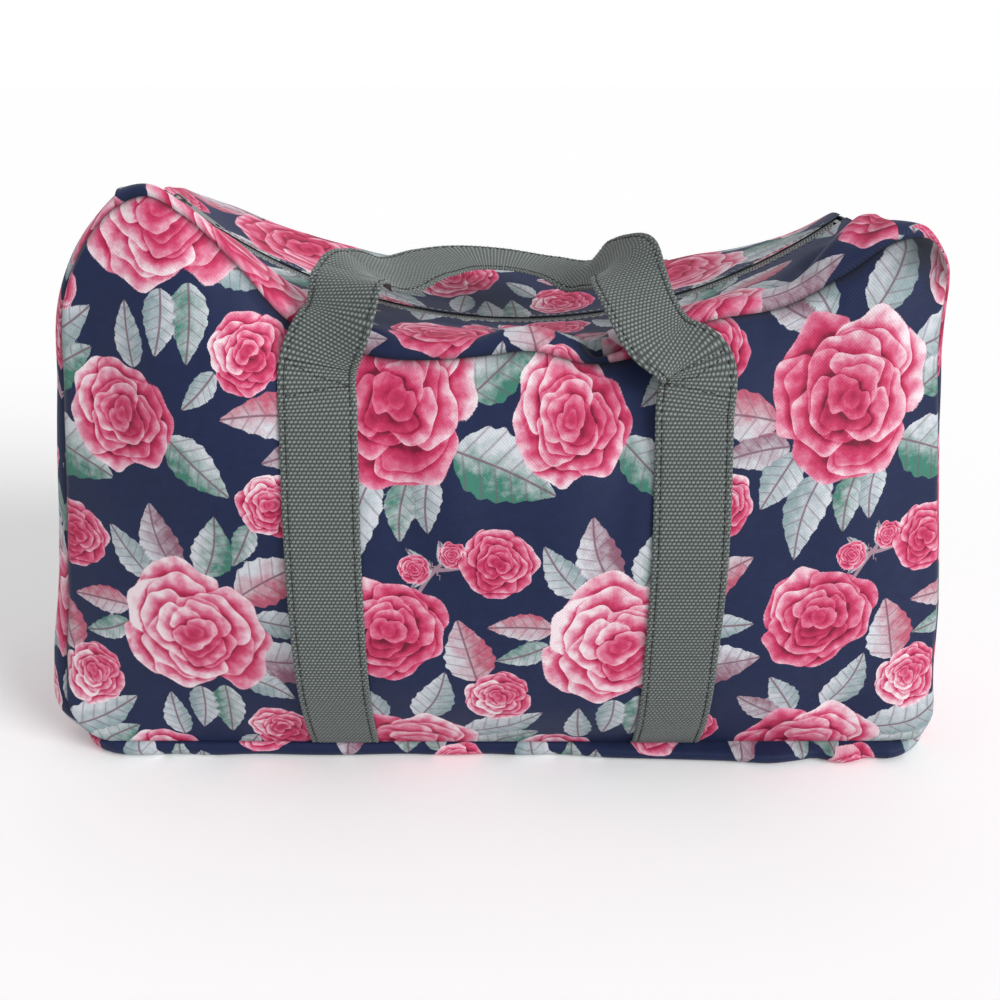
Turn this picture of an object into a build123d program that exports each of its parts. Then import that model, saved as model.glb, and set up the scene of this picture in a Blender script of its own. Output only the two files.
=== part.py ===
from build123d import *
import math
import os

os.makedirs("parts", exist_ok=True)

# A soft zip-top holdall with webbing handles, standing part filled, in millimetres, up is +Z
# and the front is -Y

# Driving sizes of the bag
FOOT_WIDTH = 476.0
BASE_DEPTH = 184.0
CORNER_HEIGHT = 308.0
BASE_HEIGHT = 10.0
BASE_EDGE_RADIUS = 6.0
BASE_CORNER_RADIUS = 28.0
BASE_OVERHANG = 3.0
BASE_BULGE = 3.0
FRONT_BELLY = 36.0
REAR_BELLY = 30.0
TOP_LEAN = 20.0
SEAM_ROLL = 8.0
CLOTH = 1.0
CLEARANCE = 0.3

# Driving sizes of the webbing
WEB_WIDTH = 38.0
WEB_THICKNESS = 1.8
HANDLE_SPACING = 181.0

# Driving sizes of the zip, which hangs in one circular arc between the two ends of the bag
ZIP_RADIUS = 305.0
ZIP_LOW = 230.0
ZIP_CENTRE_X = 8.0
ZIP_LEFT_ANGLE = -39.5
ZIP_RIGHT_ANGLE = 35.2
TAPE_HALF_WIDTH = 14.0
TAPE_THICKNESS = 0.7
COIL_HALF_WIDTH = 3.0
COIL_HALF_GAP = 0.5
COIL_THICKNESS = 2.2
COIL_EDGE_RADIUS = 0.55
CLOTH_EDGE = 5.6
STOP_LENGTH = 2.0
SLIDER_LENGTH = 11.0
SLIDER_HALF_WIDTH = 4.7
SLIDER_PLATE = 1.2
SLIDER_FLANGE = 1.1
SLIDER_POST_LENGTH = 4.0
SLIDER_POST_WIDTH = 0.5
BRIDGE_WIDTH = 2.2
BRIDGE_BAR = 1.0
BRIDGE_HOLE = 2.2
BRIDGE_LENGTH = 8.0
PULL_LENGTH = 27.0
PULL_WIDTH = 7.2
PULL_THICKNESS = 1.3
PULL_WINDOW_LENGTH = 6.0
PULL_WINDOW_WIDTH = 3.2
PULL_HOLE_RADIUS = 1.6
PULL_CORNER_RADIUS = 3.0

# Seam loops of the front and rear panels from the left foot over the top to the right foot,
# as shares of half the foot width and of the corner height
FRONT_SEAM_SHARES = (
    (-0.880, 0.034), (-0.950, 0.044), (-1.003, 0.085), (-1.027, 0.152), (-1.004, 0.315),
    (-0.970, 0.510), (-0.940, 0.700), (-0.916, 0.840), (-0.882, 0.900), (-0.845, 0.942),
    (-0.790, 0.982), (-0.720, 1.000), (-0.655, 0.975), (-0.555, 0.903), (-0.441, 0.805),
    (-0.294, 0.757), (0.000, 0.752), (0.189, 0.740), (0.286, 0.757), (0.387, 0.802),
    (0.588, 0.834), (0.693, 0.873), (0.782, 0.912), (0.850, 0.912), (0.885, 0.875),
    (0.897, 0.800), (0.925, 0.650), (0.955, 0.450), (0.985, 0.250), (0.992, 0.150),
    (0.975, 0.080), (0.930, 0.042), (0.880, 0.034),
)
REAR_SEAM_SHARES = (
    (-0.880, 0.034), (-0.950, 0.044), (-1.003, 0.085), (-1.027, 0.152), (-1.004, 0.315),
    (-0.970, 0.500), (-0.940, 0.665), (-0.912, 0.790), (-0.878, 0.850), (-0.840, 0.888),
    (-0.790, 0.908), (-0.714, 0.898), (-0.546, 0.853), (-0.416, 0.824), (-0.282, 0.802),
    (0.000, 0.789), (0.252, 0.791), (0.416, 0.809), (0.521, 0.834), (0.706, 0.858),
    (0.782, 0.868), (0.850, 0.868), (0.885, 0.830), (0.900, 0.750), (0.925, 0.610),
    (0.955, 0.430), (0.985, 0.250), (0.992, 0.150), (0.975, 0.080), (0.930, 0.042),
    (0.880, 0.034),
)

# Middle lines of the two ends from the base up to the zip, in the same shares, where the last
# point comes from the zip
LEFT_MIDDLE_SHARES = (
    (-1.008, 0.034), (-1.036, 0.090), (-1.044, 0.170), (-1.020, 0.330), (-0.985, 0.510),
    (-0.955, 0.700), (-0.908, 0.860),
)
RIGHT_MIDDLE_SHARES = (
    (0.995, 0.034), (1.000, 0.090), (1.000, 0.160), (0.978, 0.330), (0.955, 0.480),
    (0.928, 0.650), (0.885, 0.820),
)

# How far the cloth rolls out beside the seams of the ends, from the base up to the zip, as shares
# of the way up and of the seam roll
LEFT_ROLL_SHARES = (
    (0.00, 0.80), (0.12, 1.30), (0.35, 0.85), (0.70, 0.90), (0.90, 1.20), (1.00, 1.00),
)
RIGHT_ROLL_SHARES = (
    (0.00, 0.50), (0.12, 0.40), (0.35, 0.30), (0.65, 0.40), (0.88, 1.20), (1.00, 1.00),
)

# Middle of the front handle's free loop, as shares of half the foot width, half the base depth
# and the corner height, and the direction across the webbing at each place
FRONT_LOOP_SHARES = (
    (-0.336, 1.050, 0.831), (-0.325, 0.945, 0.866), (-0.319, 0.783, 0.875),
    (-0.300, 0.499, 0.866), (-0.247, 0.200, 0.846), (-0.176, -0.072, 0.849),
    (-0.112, -0.211, 0.851), (-0.005, -0.252, 0.847), (0.099, -0.191, 0.837),
    (0.175, -0.021, 0.836), (0.210, 0.134, 0.857), (0.236, 0.316, 0.871),
    (0.256, 0.515, 0.884), (0.258, 0.715, 0.868), (0.277, 0.905, 0.834),
    (0.315, 1.033, 0.789),
)
FRONT_LOOP_CROSS_SHARES = (
    (0.95, 0.30, 0.00), (0.83, 0.52, -0.15), (0.60, 0.77, -0.20),
    (0.28, 0.94, -0.20), (0.15, 0.97, -0.20), (0.10, 0.97, -0.22),
    (0.06, 0.98, -0.20), (0.00, 0.99, -0.15), (-0.18, 0.97, -0.13),
    (-0.27, 0.94, -0.20), (-0.28, 0.86, -0.42), (-0.40, 0.74, -0.55),
    (-0.60, 0.60, -0.50), (-0.76, 0.50, -0.39), (-0.88, 0.42, -0.22),
    (-0.98, 0.15, -0.03),
)

# Middle of half of the rear handle's loop, which has dropped over behind the bag
REAR_LOOP_SHARES = (
    (-0.379, 1.105, 0.785), (-0.375, 1.195, 0.800), (-0.365, 1.295, 0.782),
    (-0.345, 1.365, 0.730), (-0.290, 1.405, 0.655), (-0.165, 1.425, 0.590),
    (0.000, 1.430, 0.570),
)
REAR_LOOP_CROSS_SHARES = (
    (1.00, 0.00, 0.00), (1.00, 0.00, 0.00), (1.00, 0.00, 0.05),
    (0.95, 0.02, 0.28), (0.74, 0.03, 0.66), (0.32, 0.02, 0.94),
    (0.00, 0.02, 1.00),
)

# Grid counts of the curved sheets
PANEL_COLUMNS = 27
PANEL_ROWS = 17
STRIP_COLUMNS = 25
STRIP_STEPS = 8
END_ROWS = 13
SEWN_ROWS = 10
SECTION_COUNT = 44
SEARCH_STEPS = 40

# Shape of the panels, as powers and shares
BELLY_SIDE_POWER = 3.0
BELLY_HEIGHT_POWER = 2.6
END_FOOT_POWER = 5.0
STRIP_POWER = 1.5
STEP_POWER = 1.5
ROLL_POWER = 0.6
ROLL_SCALE_SHARE = 6.75
SEWN_TOP_SHARE = 0.755
SHEET_MARGIN_SHARE = 0.03
TAPE_STEP_SHARES = (0.4, 0.7, 1.0)
TOP_LOW_SHARE = 0.22
TOP_HIGH_SHARE = 0.78

half_width = FOOT_WIDTH / 2
half_depth = BASE_DEPTH / 2
zip_axis_z = ZIP_LOW + ZIP_RADIUS
panel_foot = BASE_HEIGHT + CLEARANCE
end_foot = panel_foot + CLOTH
zip_left_x = ZIP_CENTRE_X + ZIP_RADIUS * math.sin(math.radians(ZIP_LEFT_ANGLE))
zip_right_x = ZIP_CENTRE_X + ZIP_RADIUS * math.sin(math.radians(ZIP_RIGHT_ANGLE))
end_gap = CLOTH + CLEARANCE
end_left_x = zip_left_x - end_gap
end_right_x = zip_right_x + end_gap
tape_top_radius = ZIP_RADIUS - TAPE_THICKNESS / 2
cloth_under_radius = tape_top_radius - CLEARANCE


# Curves that the panels share
def scaled(shares):
    return [(x * half_width, z * CORNER_HEIGHT) for x, z in shares]


def zip_height(x):
    return zip_axis_z - math.sqrt(cloth_under_radius ** 2 - (x - ZIP_CENTRE_X) ** 2)


def seam_edge(shares):
    return Spline(*[(x, 0, z) for x, z in scaled(shares)])


def share_at_x(edge, x, low, high):
    for _ in range(SEARCH_STEPS):
        middle = (low + high) / 2
        if (edge @ middle).X < x:
            low = middle
        else:
            high = middle
    return (low + high) / 2


front_seam = seam_edge(FRONT_SEAM_SHARES)
rear_seam = seam_edge(REAR_SEAM_SHARES)
seam_spans = {}
for seam in (front_seam, rear_seam):
    left_share = share_at_x(seam, end_left_x, TOP_LOW_SHARE, TOP_HIGH_SHARE)
    right_share = share_at_x(seam, end_right_x, TOP_LOW_SHARE, TOP_HIGH_SHARE)
    seam_spans[seam] = (left_share, right_share)


def top_table(edge):
    low, high = seam_spans[edge]
    count = 4 * PANEL_COLUMNS
    spots = [edge @ (low + (high - low) * k / count) for k in range(count + 1)]
    return [(spot.X, spot.Z) for spot in spots]


front_top = top_table(front_seam)
rear_top = top_table(rear_seam)


def read_table(table, x):
    if x <= table[0][0]:
        return table[0][1]
    for (x0, z0), (x1, z1) in zip(table, table[1:]):
        if x <= x1:
            return z0 + (z1 - z0) * (x - x0) / (x1 - x0)
    return table[-1][1]


# Distance of a panel's outer face from the middle plane
def panel_depth(x, z, table, belly):
    side = abs(x) / half_width
    rise = (z - panel_foot) / (read_table(table, x) - panel_foot)
    centred = abs(2 * rise - 1)
    profile = 1 - centred ** BELLY_HEIGHT_POWER
    if centred > 1:
        profile = -BELLY_HEIGHT_POWER * (centred - 1)
    lean = TOP_LEAN * (z / CORNER_HEIGHT) * side ** 2
    return half_depth - lean + belly * (1 - side ** BELLY_SIDE_POWER) * profile


def front_y(x, z):
    return -panel_depth(x, z, front_top, FRONT_BELLY)


def rear_y(x, z):
    return panel_depth(x, z, rear_top, REAR_BELLY)


# Front and rear panels, each a bellied sheet cut to its seam loop
def panel(edge, depth_at, inward):
    reach = half_width * (1 + 2 * SHEET_MARGIN_SHARE)
    rise = CORNER_HEIGHT * (1 + SHEET_MARGIN_SHARE)
    columns = []
    for i in range(PANEL_COLUMNS):
        x = reach * (2 * i / (PANEL_COLUMNS - 1) - 1)
        column = []
        for j in range(PANEL_ROWS):
            z = rise * j / (PANEL_ROWS - 1)
            column.append((x, depth_at(x, z), z))
        columns.append(column)
    sheet = Face.make_surface_from_array_of_points(columns)
    outline = make_face([edge, Line(edge @ 1, edge @ 0)])
    cutter = extrude(outline, amount=BASE_DEPTH, dir=(0, 1, 0), both=True)
    trimmed = (Sketch() + sheet) & cutter
    return Solid.thicken(trimmed.face(), CLOTH, (0, inward, 0))


front_panel = panel(front_seam, front_y, 1)
rear_panel = panel(rear_seam, rear_y, -1)


# Base panel, a flat bottom with its edge rolled up and in to the seam
base_length = FOOT_WIDTH + 2 * (BASE_OVERHANG + BASE_BULGE)
base_depth = BASE_DEPTH + 2 * BASE_BULGE


def base_block(inset):
    length = base_length - 2 * inset
    depth = base_depth - 2 * inset
    outline = RectangleRounded(length, depth, BASE_CORNER_RADIUS - inset)
    block = Pos(0, 0, inset) * extrude(outline, BASE_HEIGHT - 2 * inset)
    block = fillet(block.faces().sort_by(Axis.Z)[0].edges(), BASE_EDGE_RADIUS - inset)
    return fillet(block.faces().sort_by(Axis.Z)[-1].edges(), BASE_BULGE - inset)


mouth_outline = RectangleRounded(
    base_length - 2 * BASE_BULGE, base_depth - 2 * BASE_BULGE, BASE_CORNER_RADIUS - BASE_BULGE
)
base_mouth = Pos(0, 0, BASE_HEIGHT / 2) * extrude(mouth_outline, BASE_HEIGHT)
base_panel = base_block(0) - base_block(CLOTH) - base_mouth


# Points across the gusset from a seam to the middle, with a roll of cloth beside the seam
def step_share(k):
    return (k / STRIP_STEPS) ** STEP_POWER


def roll_bump(step):
    eased = step ** ROLL_POWER
    return ROLL_SCALE_SHARE * eased * (1 - eased) ** 2


def edge_start(depth):
    sign = math.copysign(1, depth)
    return depth - sign * (2 * CLOTH + 3 * CLEARANCE)


def strip_row(edge, depth_at, x, sign):
    low, high = seam_spans[edge]
    spot = edge @ share_at_x(edge, x, low, high)
    start_y = edge_start(depth_at(spot.X, spot.Z))
    middle_z = zip_height(x)
    row = []
    for k in range(STRIP_STEPS + 1):
        step = step_share(k)
        y = start_y + (sign * TAPE_HALF_WIDTH - start_y) * step
        z = middle_z + (spot.Z - middle_z) * (1 - step) ** STRIP_POWER
        row.append((x, y, z + SEAM_ROLL * roll_bump(step)))
    for share in TAPE_STEP_SHARES:
        y = sign * (TAPE_HALF_WIDTH + (CLOTH_EDGE - TAPE_HALF_WIDTH) * share)
        row.append((x, y, middle_z))
    return row


# Top strips between the long seams and the zip
def top_strip(edge, depth_at, sign):
    rows = []
    start = end_left_x + CLEARANCE
    finish = end_right_x - CLEARANCE
    for i in range(STRIP_COLUMNS):
        x = start + (finish - start) * i / (STRIP_COLUMNS - 1)
        rows.append(strip_row(edge, depth_at, x, sign))
    sheet = Face.make_surface_from_array_of_points(rows)
    return Solid.thicken(sheet, CLOTH, (0, 0, 1))


front_top_strip = top_strip(front_seam, front_y, -1)
rear_top_strip = top_strip(rear_seam, rear_y, 1)


# End panels, which bulge between the seams and turn over the top corner to the zip
def outward(edge, share):
    tangent = edge % share
    return Vector(-tangent.Z, 0, tangent.X)


def end_side(edge, depth_at, share, middle, rise, sign, roll):
    spot = edge @ share
    normal = outward(edge, share)
    start_y = edge_start(depth_at(spot.X, spot.Z))
    finish_y = sign * TAPE_HALF_WIDTH * rise
    power = END_FOOT_POWER + (STRIP_POWER - END_FOOT_POWER) * rise ** 2
    row = []
    for k in range(STRIP_STEPS + 1):
        step = step_share(k)
        reach = 1 - (1 - step) ** power
        lift = roll * roll_bump(step)
        x = spot.X + (middle.X - spot.X) * reach + normal.X * lift * (1 - rise)
        z = spot.Z + (middle.Z - spot.Z) * reach + normal.Z * lift
        row.append((x, start_y + (finish_y - start_y) * step, max(z, end_foot)))
    return row


def end_panel(middle_shares, roll_shares, end_x, side):
    middle_points = [(x, 0, z) for x, z in scaled(middle_shares)]
    middle_edge = Spline(*middle_points, (end_x, 0, zip_height(end_x)))
    rows = []
    for i in range(END_ROWS):
        rise = i / (END_ROWS - 1)
        roll = SEAM_ROLL * read_table(roll_shares, rise)
        sides = []
        for edge, depth_at, sign in ((front_seam, front_y, -1), (rear_seam, rear_y, 1)):
            span = seam_spans[edge]
            share = span[0] * rise if side < 0 else 1 - (1 - span[1]) * rise
            row = end_side(edge, depth_at, share, middle_edge @ rise, rise, sign, roll)
            sides.append(row)
        middle = middle_edge @ rise
        middle_z = max(middle.Z, end_foot)
        centre = [(middle.X, 0, middle_z)]
        front_row = sides[0][:-1] if rise == 0 else sides[0]
        rear_row = sides[1][:-1] if rise == 0 else sides[1]
        if rise == 0:
            flat = TAPE_HALF_WIDTH / END_ROWS
            front_row = front_row + [(middle.X, -flat, middle_z)]
            rear_row = rear_row + [(middle.X, flat, middle_z)]
        rows.append(front_row + centre + rear_row[::-1])
    sheet = Shell.make_loft([Wire(Spline(*row)) for row in rows])
    return Solid.thicken(sheet, CLOTH)


left_end_panel = end_panel(LEFT_MIDDLE_SHARES, LEFT_ROLL_SHARES, end_left_x, -1)
right_end_panel = end_panel(RIGHT_MIDDLE_SHARES, RIGHT_ROLL_SHARES, end_right_x, 1)


# Webbing, lofted through thin sections spread evenly along its middle line
def between(before, start, finish, after, share):
    pull_in = (finish - before) / 2
    pull_out = (after - start) / 2
    square = share * share
    cube = square * share
    first = start * (2 * cube - 3 * square + 1) + finish * (3 * square - 2 * cube)
    return first + pull_in * (cube - 2 * square + share) + pull_out * (cube - square)


def evenly_spread(places, crosses, count):
    lengths = [0.0]
    for place, following in zip(places, places[1:]):
        lengths.append(lengths[-1] + (following - place).length)
    last = len(places) - 1
    spread = []
    for i in range(count + 1):
        wanted = lengths[-1] * i / count
        k = 0
        while k < last - 1 and lengths[k + 1] < wanted:
            k += 1
        share = (wanted - lengths[k]) / (lengths[k + 1] - lengths[k])
        four = (max(k - 1, 0), k, k + 1, min(k + 2, last))
        centre = between(*[places[j] for j in four], share)
        cross = between(*[crosses[j] for j in four], share)
        spread.append((centre, cross))
    return spread


def webbing(places, crosses):
    spread = evenly_spread(places, crosses, SECTION_COUNT)
    sections = []
    for i, (centre, cross) in enumerate(spread):
        before = spread[max(i - 1, 0)][0]
        after = spread[min(i + 1, SECTION_COUNT)][0]
        tangent = (after - before).normalized()
        side = (cross - tangent * cross.dot(tangent)).normalized() * (WEB_WIDTH / 2)
        rise = side.cross(tangent).normalized() * WEB_THICKNESS
        corners = [centre - side, centre + side, centre + side + rise, centre - side + rise]
        sections.append(Wire.make_polygon(corners, close=True))
    return Solid.make_loft(sections, ruled=True)


def sewn_places(centre_x, depth_at):
    foot = panel_foot + CLOTH
    top = SEWN_TOP_SHARE * CORNER_HEIGHT
    places = []
    for i in range(SEWN_ROWS):
        z = foot + (top - foot) * i / (SEWN_ROWS - 1)
        edges = [abs(depth_at(centre_x + shift * WEB_WIDTH / 2, z)) for shift in (-1, 0, 1)]
        places.append(Vector(centre_x, -max(edges) - 2 * CLEARANCE, z))
    return places


def loop_places(shares):
    return [Vector(x * half_width, -y * half_depth, z * CORNER_HEIGHT) for x, y, z in shares]


# A handle as it stands at the front of the bag, where the shares give the depth to the front
def handle(depth_at, loop_shares, cross_shares):
    left = sewn_places(-HANDLE_SPACING / 2, depth_at)
    right = sewn_places(HANDLE_SPACING / 2, depth_at)
    places = left + loop_places(loop_shares) + right[::-1]
    inward = [Vector(1, 0, 0)] * SEWN_ROWS
    crosses = inward + [Vector(x, -y, z) for x, y, z in cross_shares]
    crosses = crosses + [-cross for cross in inward]
    return webbing(places, crosses)


mirror_loop_shares = tuple((-x, y, z) for x, y, z in REAR_LOOP_SHARES[-2::-1])
mirror_cross_shares = tuple((-x, y, z) for x, y, z in REAR_LOOP_CROSS_SHARES[-2::-1])
rear_loop_shares = REAR_LOOP_SHARES + mirror_loop_shares
rear_cross_shares = REAR_LOOP_CROSS_SHARES + mirror_cross_shares
front_handle = handle(front_y, FRONT_LOOP_SHARES, FRONT_LOOP_CROSS_SHARES)
rear_handle = mirror(handle(rear_y, rear_loop_shares, rear_cross_shares), Plane.XZ)


# Zip pieces, which are all turned about the one axis of its arc
def arc_position(angle):
    return Pos(ZIP_CENTRE_X, 0, zip_axis_z) * Rot(0, -angle, 0)


def turned(profile, start_angle, sweep):
    # The profile is in the plane of Y and the radius, with its radius along -Z
    placed = Plane.YZ * profile
    ring = revolve(placed, Axis.Y, -sweep)
    return arc_position(start_angle) * ring


def arc_box(y_low, y_high, radius_low, radius_high):
    width = y_high - y_low
    height = radius_high - radius_low
    centre = Pos((y_low + y_high) / 2, -(radius_low + radius_high) / 2)
    return centre * Rectangle(width, height)


def arc_angle(length):
    return math.degrees(length / ZIP_RADIUS)


zip_sweep = ZIP_RIGHT_ANGLE - ZIP_LEFT_ANGLE
coil_low = ZIP_RADIUS - COIL_THICKNESS / 2
coil_high = ZIP_RADIUS + COIL_THICKNESS / 2
tape_high = ZIP_RADIUS + TAPE_THICKNESS / 2
stop_sweep = arc_angle(STOP_LENGTH)
coil_start = ZIP_LEFT_ANGLE + stop_sweep
coil_sweep = zip_sweep - 2 * stop_sweep


def tape(sign):
    inner = sign * COIL_HALF_WIDTH
    outer = sign * TAPE_HALF_WIDTH
    low, high = sorted((inner, outer))
    return turned(arc_box(low, high, tape_top_radius, tape_high), ZIP_LEFT_ANGLE, zip_sweep)


def coil(sign):
    low, high = sorted((sign * COIL_HALF_GAP, sign * COIL_HALF_WIDTH))
    section = arc_box(low, high, coil_low, coil_high)
    section = fillet(section.vertices(), COIL_EDGE_RADIUS)
    return turned(section, coil_start, coil_sweep)


def stop(start_angle):
    section = arc_box(-COIL_HALF_WIDTH, COIL_HALF_WIDTH, coil_low, coil_high)
    section = fillet(section.vertices(), COIL_EDGE_RADIUS)
    return turned(section, start_angle, stop_sweep)


front_zip_tape = tape(-1)
rear_zip_tape = tape(1)
front_zip_coil = coil(-1)
rear_zip_coil = coil(1)
left_zip_stop = stop(ZIP_LEFT_ANGLE)
right_zip_stop = stop(ZIP_RIGHT_ANGLE - stop_sweep)


# Slider at the closed left end, two flanged plates on one thin post with a bridge on top
slider_sweep = arc_angle(SLIDER_LENGTH)
slider_start = coil_start + arc_angle(CLEARANCE)
slider_middle = slider_start + slider_sweep / 2
upper_inner = coil_low - CLEARANCE
upper_outer = upper_inner - SLIDER_PLATE
lower_inner = coil_high + CLEARANCE
lower_outer = lower_inner + SLIDER_PLATE
flange_inner = SLIDER_HALF_WIDTH - SLIDER_FLANGE


def slider_plate(low, high, flange_low, flange_high):
    shape = arc_box(-SLIDER_HALF_WIDTH, SLIDER_HALF_WIDTH, low, high)
    shape += arc_box(-SLIDER_HALF_WIDTH, -flange_inner, flange_low, flange_high)
    shape += arc_box(flange_inner, SLIDER_HALF_WIDTH, flange_low, flange_high)
    return turned(shape, slider_start, slider_sweep)


upper_plate = slider_plate(upper_outer, upper_inner, upper_outer, tape_top_radius - CLEARANCE)
lower_plate = slider_plate(lower_inner, lower_outer, tape_high + CLEARANCE, lower_outer)
post_section = arc_box(-SLIDER_POST_WIDTH / 2, SLIDER_POST_WIDTH / 2, upper_outer, lower_outer)
post = turned(post_section, slider_start, arc_angle(SLIDER_POST_LENGTH))

# The local frame of the slider has its top at the plate's outer face, with +X to the right
slider_frame = arc_position(slider_middle) * Pos(0, 0, -upper_outer)
bridge_outline = Pos(0, (BRIDGE_HOLE + BRIDGE_BAR) / 2) * Rectangle(
    BRIDGE_LENGTH, BRIDGE_HOLE + BRIDGE_BAR
)
bridge_outline = fillet(bridge_outline.vertices().sort_by(Axis.Y)[-2:], BRIDGE_HOLE)
bridge_hole = Pos(0, BRIDGE_HOLE / 2) * Rectangle(BRIDGE_LENGTH - 2 * BRIDGE_BAR, BRIDGE_HOLE)
bridge_hole = fillet(bridge_hole.vertices().sort_by(Axis.Y)[-2:], BRIDGE_HOLE / 2)
bridge_foot = Pos(0, -SLIDER_PLATE / 4) * Rectangle(BRIDGE_LENGTH, SLIDER_PLATE / 2)
bridge_face = bridge_outline - bridge_hole + bridge_foot
bridge = extrude(Plane.XZ * bridge_face, BRIDGE_WIDTH / 2, both=True)
zip_slider = upper_plate + lower_plate + post + slider_frame * bridge

# Pull tab, turned by its end bar under the bridge
bar_radius = PULL_THICKNESS / 2
pull_axis_z = BRIDGE_HOLE / 2
tab_reach = PULL_LENGTH - bar_radius
tab_outline = Pos(tab_reach / 2, 0) * Rectangle(tab_reach, PULL_WIDTH)
tab_outline = fillet(tab_outline.vertices().sort_by(Axis.X)[-2:], PULL_CORNER_RADIUS)
window_start = bar_radius
window = Pos(window_start + PULL_WINDOW_LENGTH / 2, 0) * Rectangle(
    PULL_WINDOW_LENGTH, PULL_WINDOW_WIDTH
)
pull_hole = Pos(PULL_LENGTH - PULL_WIDTH / 2, 0) * Circle(PULL_HOLE_RADIUS)
tab = extrude(tab_outline - window - pull_hole, bar_radius, both=True)
bar = Cylinder(bar_radius, PULL_WIDTH, rotation=(90, 0, 0))
zip_pull = slider_frame * (Pos(0, 0, pull_axis_z) * (tab + bar))

nodes = {
    "front_panel": front_panel,
    "rear_panel": rear_panel,
    "base_panel": base_panel,
    "left_end_panel": left_end_panel,
    "right_end_panel": right_end_panel,
    "front_top_strip": front_top_strip,
    "rear_top_strip": rear_top_strip,
    "front_handle": front_handle,
    "rear_handle": rear_handle,
    "front_zip_tape": front_zip_tape,
    "rear_zip_tape": rear_zip_tape,
    "front_zip_coil": front_zip_coil,
    "rear_zip_coil": rear_zip_coil,
    "left_zip_stop": left_zip_stop,
    "right_zip_stop": right_zip_stop,
    "zip_slider": zip_slider,
    "zip_pull": zip_pull,
}
for name, shape in nodes.items():
    export_step(shape, f"parts/{name}.step")
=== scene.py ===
import math

import bpy
import numpy as np
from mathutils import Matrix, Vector


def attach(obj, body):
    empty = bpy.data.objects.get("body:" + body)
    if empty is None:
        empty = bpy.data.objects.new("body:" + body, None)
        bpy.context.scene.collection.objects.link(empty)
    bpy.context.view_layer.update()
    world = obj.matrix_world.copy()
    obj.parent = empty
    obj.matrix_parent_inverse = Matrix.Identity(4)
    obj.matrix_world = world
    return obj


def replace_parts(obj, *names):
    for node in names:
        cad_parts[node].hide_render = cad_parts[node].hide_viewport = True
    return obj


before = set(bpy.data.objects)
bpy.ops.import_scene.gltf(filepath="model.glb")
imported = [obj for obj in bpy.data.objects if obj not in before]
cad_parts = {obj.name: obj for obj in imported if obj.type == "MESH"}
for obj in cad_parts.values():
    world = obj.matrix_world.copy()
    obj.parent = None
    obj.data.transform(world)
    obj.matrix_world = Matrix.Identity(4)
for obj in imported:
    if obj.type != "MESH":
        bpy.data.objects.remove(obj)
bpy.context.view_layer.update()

MM = 0.001

# Sizes repeated from the part's source, in millimetres
HALF_WIDTH = 238.0
HALF_DEPTH = 92.0
HEIGHT = 308.0
BASE_HEIGHT = 10.0
BASE_HALF_LENGTH = 244.0
BASE_HALF_DEPTH = 95.0
BASE_CORNER = 28.0
BASE_EDGE = 6.0
BASE_BULGE = 3.0
SEAM_TUCK = 4.0
SEAM_ROLL = 8.0
PANEL_FOOT = 10.3
FRONT_BELLY = 36.0
REAR_BELLY = 30.0
TOP_LEAN = 20.0
WEB_WIDTH = 38.0
WEB_THICKNESS = 1.8
HALF_SPACING = 90.5
ZIP_RADIUS = 305.0
ZIP_X = 8.0
ZIP_Z = 535.0
ZIP_LEFT_ANGLE = math.radians(-39.5)
ZIP_RIGHT_ANGLE = math.radians(35.2)
END_GAP = 1.3
END_LEFT_X = ZIP_X + ZIP_RADIUS * math.sin(ZIP_LEFT_ANGLE) - END_GAP
END_RIGHT_X = ZIP_X + ZIP_RADIUS * math.sin(ZIP_RIGHT_ANGLE) + END_GAP

FRONT_SEAM_SHARES = (
    (-0.880, 0.034), (-0.950, 0.044), (-1.003, 0.085), (-1.027, 0.152), (-1.004, 0.315),
    (-0.970, 0.510), (-0.940, 0.700), (-0.916, 0.840), (-0.882, 0.900), (-0.845, 0.942),
    (-0.790, 0.982), (-0.720, 1.000), (-0.655, 0.975), (-0.555, 0.903), (-0.441, 0.805),
    (-0.294, 0.757), (0.000, 0.752), (0.189, 0.740), (0.286, 0.757), (0.387, 0.802),
    (0.588, 0.834), (0.693, 0.873), (0.782, 0.912), (0.850, 0.912), (0.885, 0.875),
    (0.897, 0.800), (0.925, 0.650), (0.955, 0.450), (0.985, 0.250), (0.992, 0.150),
    (0.975, 0.080), (0.930, 0.042), (0.880, 0.034),
)
REAR_SEAM_SHARES = (
    (-0.880, 0.034), (-0.950, 0.044), (-1.003, 0.085), (-1.027, 0.152), (-1.004, 0.315),
    (-0.970, 0.500), (-0.940, 0.665), (-0.912, 0.790), (-0.878, 0.850), (-0.840, 0.888),
    (-0.790, 0.908), (-0.714, 0.898), (-0.546, 0.853), (-0.416, 0.824), (-0.282, 0.802),
    (0.000, 0.789), (0.252, 0.791), (0.416, 0.809), (0.521, 0.834), (0.706, 0.858),
    (0.782, 0.868), (0.850, 0.868), (0.885, 0.830), (0.900, 0.750), (0.925, 0.610),
    (0.955, 0.430), (0.985, 0.250), (0.992, 0.150), (0.975, 0.080), (0.930, 0.042),
    (0.880, 0.034),
)
LEFT_MIDDLE_SHARES = (
    (-1.008, 0.034), (-1.036, 0.090), (-1.044, 0.170), (-1.020, 0.330), (-0.985, 0.510),
    (-0.955, 0.700), (-0.908, 0.860),
)
RIGHT_MIDDLE_SHARES = (
    (0.995, 0.034), (1.000, 0.090), (1.000, 0.160), (0.978, 0.330), (0.955, 0.480),
    (0.928, 0.650), (0.885, 0.820),
)
LEFT_ROLL_SHARES = (
    (0.00, 0.80), (0.12, 1.30), (0.35, 0.85), (0.70, 0.90), (0.90, 1.20), (1.00, 1.00),
)
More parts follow.
